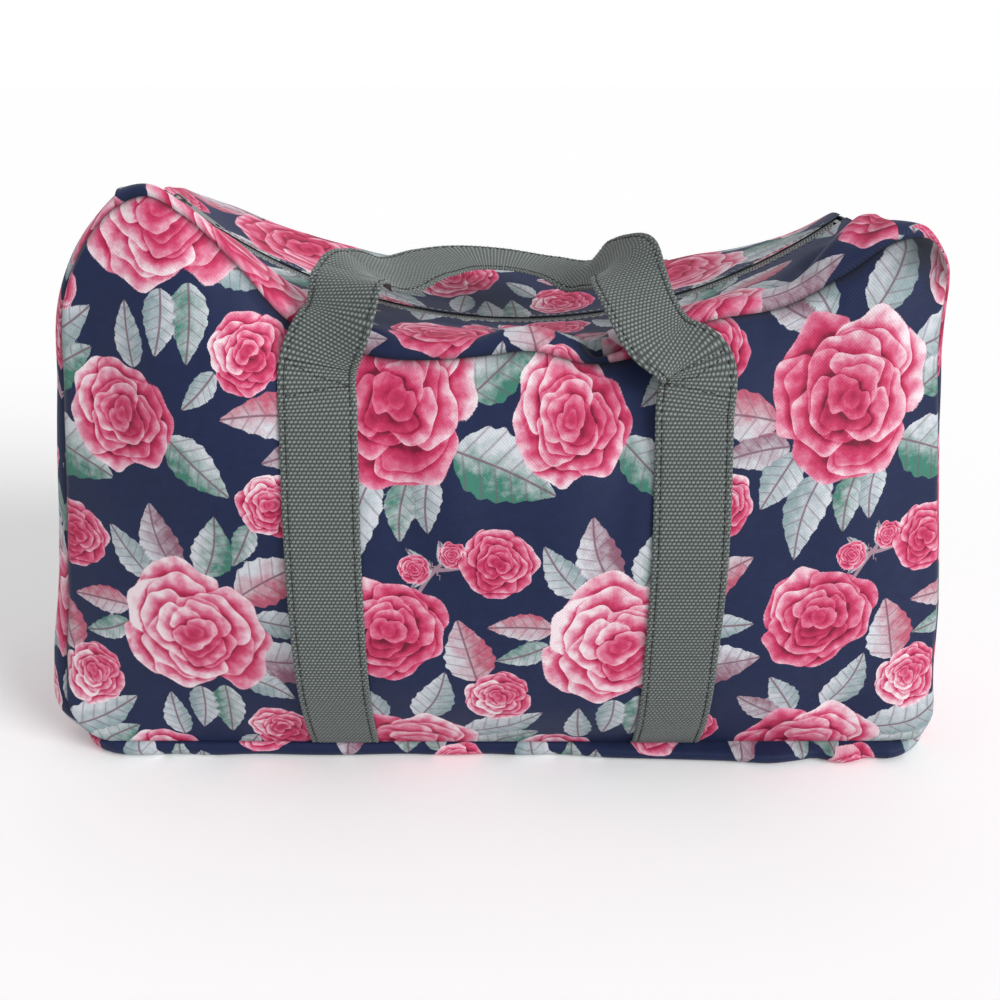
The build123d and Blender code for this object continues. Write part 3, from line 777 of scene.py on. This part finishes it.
def panel_piece(name, node_name, seam, relief, columns, rows, offset):
    x, z, edge = panel_grid(seam, columns, rows)
    depth = seam.depth(x, z) + relief(x, z, edge)
    # The edge turns in to the seam, less at the foot
    above = smoothstep(12, 36, z)
    turn = np.clip(1 - edge / 3.6, 0, 1)
    depth = depth - SEAM_TUCK * (-0.1 + 1.1 * above) * turn**1.6
    grid = np.stack([x, seam.sign * depth, z - 0.7 * (1 - above) * turn], -1)
    # Painted shade along the seams, weaker at the foot
    crease = np.exp(-edge / 1.2) * (0.45 + 0.55 * above)
    if seam is front:
        # Painted shade of a deep fold under the roll at the right corner
        hollow = smoothstep(174, 196, x) * smoothstep(252, 270, z)
        crease = np.maximum(crease, 0.95 * np.exp(-((edge / 15.0) ** 4)) * hollow)
    cloth_piece(name, node_name, grid, offset[0] - seam.sign * x, z + offset[1], crease,
                np.array([0, seam.sign, 0]))


panel_piece("front_panel_cloth", "front_panel", front, front_relief, 372, 232, (330.0, 60.0))
panel_piece("rear_panel_cloth", "rear_panel", rear, rear_relief, 250, 150, (410.0, 140.0))


# Gusset pieces
def roll_bump(step):
    eased = step**0.6
    return 6.75 * eased * (1 - eased) ** 2


# Folds of the top strips: height, two ends and width. The run goes from the seam to the zip.
STRIP_RUN = 80
REAR_FOLDS = (
    (2.0, (-120, 10), (-60, 60), 9),
    (1.5, (100, 10), (60, 60), 9),
)
FRONT_FOLDS = (
    (4.0, (-16, 9), (50, 6), 6),
    (-7.0, (-22, 25), (54, 22), 8),
    (-13.0, (36, 3), (68, 11), 5),
    (8.0, (150, 3), (188, 48), 10),
    (-7.0, (130, 8), (170, 54), 9),
    (3.0, (-150, 22), (-105, 40), 9),
)


def strip_piece(name, node_name, seam, sign, offset):
    columns, rows = 310, 72
    x = np.linspace(END_LEFT_X - 0.8, END_RIGHT_X + 0.8, columns)[None, :]
    step = np.linspace(0, 1, rows)[:, None] ** 1.15
    seam_z = seam.top(x)
    start = sign * (seam.depth(x, seam_z) - SEAM_TUCK)
    # The last tenth lies flat beside the zip
    inner = np.clip(step / 0.90, 0, 1)
    finish = sign * 5.6
    y = start + (finish - start) * step
    run = step * STRIP_RUN
    folds = ridges(x, run, REAR_FOLDS) if sign > 0 else ridges(x, run, FRONT_FOLDS, 0.3)
    middle = zip_height(x)
    z = middle + (seam_z - 1.0 - middle) * (1 - inner) ** 1.5
    z = z + SEAM_ROLL * roll_bump(inner) + folds * np.sin(math.pi * inner) ** 0.5
    z = z + 0.5 * ripples(x + 0 * step, y, 41, 55) * smoothstep(0, 0.2, inner) * smoothstep(1, 0.8, inner)
    # The edge beside the zip is folded under, and lies on the tape
    z = z + 0.9
    grid = np.stack([x + 0 * y, y, z], -1)
    across = lengths_along(grid, 0)
    # Painted shade along the seam
    crease = np.exp(-across / 1.2)
    # Painted shade along the deep furrow of the front strip
    if sign < 0:
        crease += ridge(x, run, (34, 3), (64, 10), 3.2, 0.3)
    grid[:, :, 2] -= 2.2 * np.exp(-across / 1.4)
    cloth_piece(name, node_name, grid, x + 0 * y + offset[0], across + offset[1], crease,
                np.array([0, 0, 1.0]))


strip_piece("front_top_strip_cloth", "front_top_strip", front, -1, (300.0, 128.0))
strip_piece("rear_top_strip_cloth", "rear_top_strip", rear, 1, (395.0, 22.0))


END_RIDGES = (
    (2.4, (-50, 240), (10, 60), 12),
    (2.0, (55, 230), (15, 90), 11),
)


def end_piece(name, node_name, middle_shares, roll_shares, end_x, side, offset):
    rows, half = 210, 60
    rise = np.linspace(0, 1, rows)
    last = [(end_x, float(zip_height(end_x)) + 1.2)]
    middle = along(smooth_curve(scaled(middle_shares) + last), rise)
    halves = []
    for seam in (front, rear):
        if side < 0:
            path = seam.loop[: seam.first + 1]
        else:
            path = seam.loop[seam.last :][::-1]
        spot = along(path, rise)
        tangent = np.gradient(spot, axis=0)
        tangent /= np.linalg.norm(tangent, axis=1)[:, None]
        normal = np.stack([-tangent[:, 1], tangent[:, 0]], -1) * (1 if side < 0 else -1)
        normal = normal * np.stack([1 - rise**4, np.ones(rows)], -1)
        step = np.linspace(0, 1, half) ** 1.1
        power = 5.0 + (1.5 - 5.0) * rise**2
        reach = 1 - (1 - step[None, :]) ** power[:, None]
        lift = SEAM_ROLL * np.interp(rise, *np.array(roll_shares).T)[:, None] * roll_bump(step)[None, :]
        x = spot[:, :1] + (middle[:, :1] - spot[:, :1]) * reach + normal[:, :1] * lift
        z = spot[:, 1:] + (middle[:, 1:] - spot[:, 1:]) * reach + normal[:, 1:] * lift
        start = seam.sign * (seam.depth(spot[:, 0], spot[:, 1]) - SEAM_TUCK)[:, None]
        y = start * (1 - step[None, :])
        tuck = 2.2 * np.exp(-step[None, :] * 60)
        x = x - normal[:, :1] * tuck
        z = np.maximum(z - normal[:, 1:] * tuck, BASE_HEIGHT)
        # The foot wraps the corner of the base and covers its top edge
        round_part = np.clip(np.abs(y) - (BASE_HALF_DEPTH - BASE_CORNER), 0, BASE_CORNER)
        foot_x = side * (BASE_HALF_LENGTH - BASE_CORNER + np.sqrt(BASE_CORNER**2 - round_part**2) + 0.3)
        foot = np.clip(1 - rise / 0.09, 0, 1)[:, None] ** 1.5 * smoothstep(0, 0.07, step)[None, :]
        x = x + (foot_x - x) * foot
        z = z - 3.0 * np.clip(1 - rise / 0.02, 0, 1)[:, None] * smoothstep(0, 0.07, step)[None, :]
        halves.append(np.stack([x, y, z], -1))
    grid = np.concatenate([halves[0], halves[1][:, ::-1][:, 1:]], axis=1)
    y, z = grid[:, :, 1], grid[:, :, 2]
    fold = ridges(y, z, END_RIDGES) + 0.6 * ripples(y, z, 51 + side, 70)
    fold *= (smoothstep(0.05, 0.3, rise) * smoothstep(0.95, 0.7, rise))[:, None]
    fold *= smoothstep(88, 60, np.abs(y))
    grid[:, :, 0] += side * fold * 0.8
    up = lengths_along(grid, 0)
    over = lengths_along(grid, 1)
    over -= over[:, half - 1 : half]
    seam_gap = np.minimum(over - over[:, :1], over[:, -1:] - over)
    # Painted shade along both seams
    cloth_piece(name, node_name, grid, over + offset[0], up + offset[1], np.exp(-seam_gap / 1.2),
                np.array([side, 0, 0.0]))


end_piece("left_end_cloth", "left_end_panel", LEFT_MIDDLE_SHARES, LEFT_ROLL_SHARES,
          END_LEFT_X, -1, (500.0, 46.0))
end_piece("right_end_cloth", "right_end_panel", RIGHT_MIDDLE_SHARES, RIGHT_ROLL_SHARES,
          END_RIGHT_X, 1, (580.0, 120.0))


def rounded_outline(inset, straight, arc):
    """Points round the base's outline, moved in by the inset, with the way out at each."""
    points, ways = [], []
    corner = max(BASE_CORNER - inset, 0.0)
    spare = min(BASE_CORNER - inset, 0.0)
    across = BASE_HALF_LENGTH - BASE_CORNER + spare
    deep = BASE_HALF_DEPTH - BASE_CORNER + spare
    centres = np.array([(across, -deep), (across, deep), (-across, deep), (-across, -deep)])
    for k, centre in enumerate(centres):
        for angle in np.linspace(-90, 0, arc) + 90 * k:
            way = unit(math.radians(angle))
            points.append(centre + way * corner)
            ways.append(way)
        after = centres[(k + 1) % 4]
        way = unit(math.radians(90 * k))
        for share in np.linspace(0, 1, straight)[1:-1]:
            points.append(centre + (after - centre) * share + way * corner)
            ways.append(way)
    points.append(points[0])
    ways.append(ways[0])
    return np.array(points), np.array(ways)


# Bumps along the base's front edge: height, place and width
BASE_BUMPS = ((2.2, 150, 14), (-2.6, 176, 7), (1.8, 191, 7), (-2.6, 206, 6))


def base_piece():
    profile = [(BASE_BULGE, BASE_HEIGHT)]
    for a in np.linspace(0.2, 1.57, 6):
        profile.append((BASE_BULGE * (1 - math.sin(a)), BASE_HEIGHT - BASE_BULGE * (1 - math.cos(a))))
    for a in np.linspace(0, 1.57, 9):
        profile.append((BASE_EDGE * (1 - math.cos(a)), BASE_EDGE * (1 - math.sin(a))))
    profile += [(inset, 0.0) for inset in np.linspace(BASE_EDGE + 3, BASE_HALF_DEPTH, 26)]
    profile = np.array(profile)
    lengths = run_lengths(profile)
    whole, ways = rounded_outline(0.0, 90, 14)
    rows, flats = [], []
    for (inset, height), length in zip(profile, lengths):
        points, _ = rounded_outline(inset, 90, 14)
        rows.append(np.concatenate([points, np.full((len(points), 1), height)], 1))
        flats.append(whole + ways * (10.0 - length))
    grid = np.array(rows)
    flat = np.array(flats)
    # The front edge rolls out at the right, with small waves along it
    x, y, z = grid[:, :, 0], grid[:, :, 1], grid[:, :, 2]
    outer = smoothstep(60, 90, np.abs(y)) * smoothstep(BASE_HEIGHT, BASE_HEIGHT - 4, z)
    roll = 6.0 * smoothstep(10, 120, x) * smoothstep(236, 205, x) * (y < 0)
    waves = 0.6 * np.sin(x / 9.0 + 1.5 * np.sin(x / 31.0))
    for height, place, width in BASE_BUMPS:
        waves += height * bell(x, place, width)
    grid[:, :, 1] += np.sign(y) * outer * (roll + waves)
    # Painted shade along the seam at the base's top edge
    crease = 0.4 * np.exp(-lengths / 0.8)[:, None] + 0 * x
    cloth_piece("base_cloth", "base_panel", grid, flat[:, :, 0] + 240, flat[:, :, 1] + 100, crease,
                np.array([0, 0, -1.0]))


base_piece()


# Handles
SEWN_POINTS = 10
CROSS_WEIGHT = 20


def sewn_line(seam, relief, centre):
    rows = []
    for z in np.linspace(PANEL_FOOT + 1.0, SEWN_TOP, SEWN_POINTS):
        shifts = np.array([-1, -0.5, 0, 0.5, 1]) * WEB_WIDTH / 2 + centre
        edge = np.minimum(z - PANEL_FOOT, 40) + 0 * shifts
        depth = seam.depth(shifts, z) + relief(shifts, z + 0 * shifts, edge)
        rows.append((centre, seam.sign * (depth.max() + 0.5), z))
    return rows


def handle_line(seam, relief, loop, cross):
    left = sewn_line(seam, relief, -HALF_SPACING)
    right = sewn_line(seam, relief, HALF_SPACING)
    free = [(x * HALF_WIDTH, seam.sign * y * HALF_DEPTH, z * HEIGHT) for x, y, z in loop]
    places = np.array(left + free + right[::-1])
    across = [(x, seam.sign * y, z) for x, y, z in cross]
    sides = np.array([(1.0, 0, 0)] * SEWN_POINTS + across + [(-1.0, 0, 0)] * SEWN_POINTS)
    dense = smooth_curve(np.concatenate([places, sides * CROSS_WEIGHT], axis=1), 24)
    return dense, run_lengths(dense[:, :3])


WEAVE_COLUMNS = 18
WEAVE_ROW = 1.9


def weave(u, v, pitch):
    """Height of the weave, 0 to 1: rows of bumps, each row half a bump on from the last."""
    row = np.floor(v / pitch + 0.001)
    column = u / WEB_WIDTH * WEAVE_COLUMNS + 0.5 * (row % 2)
    return np.abs(np.sin(math.pi * column)) ** 0.7 * np.abs(np.sin(math.pi * v / pitch)) ** 0.6


def capsules(places, ways, lifts, length, width):
    """Small rounded dashes, one for each place, lying along its way."""
    ring = [(math.cos(a), math.sin(a)) for a in np.linspace(0, 2 * math.pi, 6, endpoint=False)]
    stations = ((-0.5, 0.35), (-0.36, 1.0), (0.36, 1.0), (0.5, 0.35))
    points, faces = [], []
    for place, way, lift in zip(places, ways, lifts):
        side = np.cross(way, lift)
        first = len(points)
        for shift, size in stations:
            for a, b in ring:
                points.append(place + way * shift * length + (side * a + lift * b) * size * width / 2)
        for low in range(first, first + 18, 6):
            for j in range(6):
                n = (j + 1) % 6
                faces.append((low + j, low + n, low + 6 + n, low + 6 + j))
        faces.append((first + 2, first + 1, first, first + 5))
        faces.append((first + 5, first + 4, first + 3, first + 2))
        last = first + 18
        faces.append((last, last + 1, last + 2, last + 5))
        faces.append((last + 2, last + 3, last + 4, last + 5))
    return np.array(points), np.array(faces)


def dash_piece(name, slot, material, places, ways, lifts, length, width):
    points, faces = capsules(places, ways, lifts, length, width)
    piece = mesh_object(name, points, faces)
    piece.data.materials.append(material)
    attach(piece, "bag")
    return piece


STITCH_INSET = 3.2
STITCH_PITCH = 3.4
STITCH_END = 2.0
BAR_DROP = 11.0
BAR_SLANT = 4.0


def stitch_runs(total, sewn):
    """Runs of stitches on the webbing, each from one place to another, across and along it."""
    edge = WEB_WIDTH / 2 - STITCH_INSET
    runs = [((across, STITCH_END), (across, total - STITCH_END)) for across in (-edge, edge)]
    for top, sign in ((sewn, 1), (total - sewn, -1)):
        low = top - sign * BAR_DROP
        runs.append(((-edge, top), (edge, top)))
        runs.append(((-edge, top), (edge, low)))
        runs.append(((edge, low), (-edge, low - sign * BAR_SLANT)))
    return runs


def handle_piece(name, node_name, seam, relief, loop, cross, across_count):
    dense, lengths = handle_line(seam, relief, loop, cross)
    total = lengths[-1]
    pitch = total / round(total / WEAVE_ROW)
    rows = 2 * round(total / WEAVE_ROW) + 1
    v = np.linspace(0, total, rows)
    centre = np.stack([np.interp(v, lengths, dense[:, k]) for k in range(3)], -1)
    side = np.stack([np.interp(v, lengths, dense[:, k]) for k in range(3, 6)], -1)
    way = np.gradient(centre, axis=0)
    way /= np.linalg.norm(way, axis=1)[:, None]
    side -= way * (side * way).sum(1)[:, None]
    side /= np.linalg.norm(side, axis=1)[:, None]
    lift = np.cross(side, way) * -seam.sign
    u = np.linspace(-WEB_WIDTH / 2, WEB_WIDTH / 2, across_count)
    uu, vv = np.meshgrid(u + WEB_WIDTH / 2, v)
    height = weave(uu, vv, pitch)
    edge = WEB_WIDTH / 2 - np.abs(uu - WEB_WIDTH / 2)
    rim = np.sqrt(np.clip(edge / 0.8, 0, 1))
    core = WEB_THICKNESS - 0.25
    top = core * (0.4 + 0.6 * rim) + 0.45 * (height - 0.5) * rim
    top = top - 0.30 * np.exp(-(((edge - STITCH_INSET) / 0.7) ** 2))
    low = 0.12 * rim * (1 - height) + core * 0.4 * (1 - rim)
    # The underside needs two columns of points for each bump
    skip = (across_count - 1) // (2 * WEAVE_COLUMNS)
    middle = centre[:, None, :] + side[:, None, :] * u[None, :, None]
    upper = middle + lift[:, None, :] * top[:, :, None]
    under = (middle + lift[:, None, :] * low[:, :, None])[:, ::skip]
    points = np.concatenate([upper.reshape(-1, 3), under.reshape(-1, 3)])
    faces = grid_faces(rows, across_count)
    low_faces = grid_faces(*under.shape[:2])[:, ::-1] + rows * across_count
    piece = mesh_object(name, points, np.concatenate([faces, low_faces]))
    set_flat(piece, *[np.concatenate([a.ravel(), a[:, ::skip].ravel()]) for a in (uu, vv)])
    store_value(piece.data, "weave", np.concatenate([height.ravel(), height[:, ::skip].ravel()]))
    piece.data.materials.append(webbing)
    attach(piece, "bag")
    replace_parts(piece, node_name)

    places, ways, lifts = [], [], []
    for first, last in stitch_runs(total, np.interp(SEWN_TOP, centre[: rows // 3, 2], v[: rows // 3])):
        first, last = np.array(first), np.array(last)
        count = int(np.hypot(*(last - first)) / STITCH_PITCH)
        heading = (last - first) / np.hypot(*(last - first))
        for share in (np.arange(count) + 0.5) / count:
            across, run = first + (last - first) * share
            k = int(np.clip(run / total * (rows - 1), 0, rows - 1))
            places.append(centre[k] + side[k] * across + lift[k] * (WEB_THICKNESS - 0.38))
            ways.append(side[k] * heading[0] + way[k] * heading[1])
            lifts.append(lift[k])
    stitching = name.replace("webbing", "stitching")
    dash_piece(stitching, "webbing", thread_dark, places, ways, lifts, 2.5, 0.8)


rear_loop = REAR_LOOP_SHARES + tuple((-x, y, z) for x, y, z in REAR_LOOP_SHARES[-2::-1])
rear_cross = REAR_LOOP_CROSS_SHARES + tuple((-x, y, z) for x, y, z in REAR_LOOP_CROSS_SHARES[-2::-1])
handle_piece("front_handle_webbing", "front_handle", front, front_relief,
             FRONT_LOOP_SHARES, FRONT_LOOP_CROSS_SHARES, 73)
handle_piece("rear_handle_webbing", "rear_handle", rear, rear_relief, rear_loop, rear_cross, 37)


# Zip
ZIP_RUN = (ZIP_RIGHT_ANGLE - ZIP_LEFT_ANGLE) * ZIP_RADIUS
TAPE_INNER = 2.4
TAPE_OUTER = 14.0
TAPE_THICKNESS = 0.4
COIL_START = 2.4
COIL_SPARE = 4.4
COIL_PITCH = 1.7
COIL_OFFSET = 1.45
ZIP_STITCH_END = 4.0
ZIP_STITCH_PITCH = 4.2
ZIP_STITCH_OFFSET = 8.2


def arc_point(angle, radius, y):
    return np.stack([ZIP_X + radius * np.sin(angle), y + 0 * angle, ZIP_Z - radius * np.cos(angle)], -1)


def tape_piece(name, node_name, sign):
    columns, rows = 420, 16
    angle = np.linspace(ZIP_LEFT_ANGLE, ZIP_RIGHT_ANGLE, columns)[None, :]
    y = sign * np.linspace(TAPE_INNER, TAPE_OUTER, rows)[:, None]
    relief = 0.06 * np.sin(np.abs(y) * 2 * math.pi / 1.6)
    relief = relief + 0.04 * np.sin(angle * ZIP_RADIUS * 2 * math.pi / 1.9)
    grid = arc_point(angle + 0 * y, ZIP_RADIUS - 0.25 - relief, y + 0 * angle)
    faces = grid_faces(rows, columns)
    if sign > 0:
        faces = faces[:, ::-1]
    piece = mesh_object(name, grid.reshape(-1, 3), faces)
    piece.data.materials.append(tape_grey)
    thickness = piece.modifiers.new("tape thickness", "SOLIDIFY")
    thickness.thickness = TAPE_THICKNESS * MM
    thickness.offset = 0
    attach(piece, "bag")
    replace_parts(piece, node_name)


tape_piece("front_zip_tape_cloth", "front_zip_tape", -1)
tape_piece("rear_zip_tape_cloth", "rear_zip_tape", 1)


def arc_dashes(runs, radius, y):
    """Places at a list of runs from the zip's left end, with the ways along it and up from it."""
    angle = ZIP_LEFT_ANGLE + runs / ZIP_RADIUS
    ways = np.stack([np.cos(angle), 0 * angle, np.sin(angle)], -1)
    lifts = np.stack([-np.sin(angle), 0 * angle, np.cos(angle)], -1)
    return arc_point(angle, radius, y), ways, lifts


def coil_piece(name, node_name, sign):
    count = int((ZIP_RUN - COIL_SPARE) / COIL_PITCH)
    runs = COIL_START + (np.arange(count) + (0.0 if sign < 0 else 0.5)) * COIL_PITCH
    places, _, lifts = arc_dashes(runs, ZIP_RADIUS - 0.15, sign * COIL_OFFSET)
    ways = np.tile([0, 1.0, 0], (count, 1))
    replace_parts(dash_piece(name, "zip_coil", coil_grey, places, ways, lifts, 3.5, 1.25), node_name)


coil_piece("front_zip_coil_teeth", "front_zip_coil", -1)
coil_piece("rear_zip_coil_teeth", "rear_zip_coil", 1)


def zip_stitches(name, sign):
    runs = np.arange(ZIP_STITCH_END, ZIP_RUN - ZIP_STITCH_END, ZIP_STITCH_PITCH)
    dashes = arc_dashes(runs, ZIP_RADIUS - 1.75, sign * ZIP_STITCH_OFFSET)
    dash_piece(name, "zip_tape", thread_pale, *dashes, 2.8, 0.6)


zip_stitches("front_zip_stitching", -1)
zip_stitches("rear_zip_stitching", 1)

for name in ("zip_slider", "zip_pull", "left_zip_stop", "right_zip_stop"):
    cad = bpy.data.objects.get(name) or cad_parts[name]
    cad.data.materials.clear()
    cad.data.materials.append(slider_grey)


# Floor, light and camera
WORLD_LEVEL = 0.42
FLOOR_LIFT = 0.14
FLOOR_SIZE = 40
CAMERA_PLACE = (-0.003, -0.6101, 0.3668)
CAMERA_ANGLE = 49.64
CAMERA_TILT = 22
# Soft suns: name, strength, angular size in degrees and the direction that it shines from
SUNS = (
    ("key", 2.4, 30.0, (1.35, -1.0, 0.8)),
    ("top", 0.45, 60.0, (0.1, 0.2, 1.0)),
)


def white_to_camera(graph, plain, seen_level):
    """The second level for rays from the camera, mirrors and glass, and the first for the rest."""
    rays = graph.add("LightPath")
    seen = rays["Is Camera Ray"]
    for name in ("Is Glossy Ray", "Is Transmission Ray"):
        seen = graph.math("MAXIMUM", seen, rays[name])
    return graph.span(seen, 0.0, 1.0, plain, seen_level)


def lay_floor():
    bpy.ops.mesh.primitive_plane_add(size=FLOOR_SIZE)
    floor = bpy.context.object
    floor.name = "floor"
    material, graph, sockets = new_material("pale floor")
    graph.feed(sockets["Base Color"], (0.96, 0.96, 0.96))
    sockets["Roughness"].default_value = 0.95
    sockets["Specular IOR Level"].default_value = 0.0
    graph.feed(sockets["Emission Color"], (1, 1, 1))
    graph.feed(sockets["Emission Strength"], white_to_camera(graph, 0.0, FLOOR_LIFT))
    floor.data.materials.append(material)


def light_scene(scene):
    world = scene.world or bpy.data.worlds.new("World")
    scene.world = world
    world.use_nodes = True
    graph = Graph(world.node_tree)
    background = graph.nodes["Background"]
    graph.feed(background.inputs[0], (1, 1, 1))
    graph.feed(background.inputs[1], white_to_camera(graph, WORLD_LEVEL, 1.0))
    for name, strength, spread, place in SUNS:
        data = bpy.data.lights.new(name, "SUN")
        data.energy = strength
        data.angle = math.radians(spread)
        lamp = bpy.data.objects.new(name, data)
        scene.collection.objects.link(lamp)
        lamp.rotation_euler = Vector(place).to_track_quat("Z", "Y").to_euler()


def set_camera(scene):
    data = bpy.data.cameras.new("camera")
    data.angle = math.radians(CAMERA_ANGLE)
    camera = bpy.data.objects.new("camera", data)
    scene.collection.objects.link(camera)
    camera.location = CAMERA_PLACE
    camera.rotation_euler = (math.radians(90 - CAMERA_TILT), 0, 0)
    scene.camera = camera
    scene.view_settings.view_transform = "Standard"


lay_floor()
light_scene(bpy.context.scene)
set_camera(bpy.context.scene)
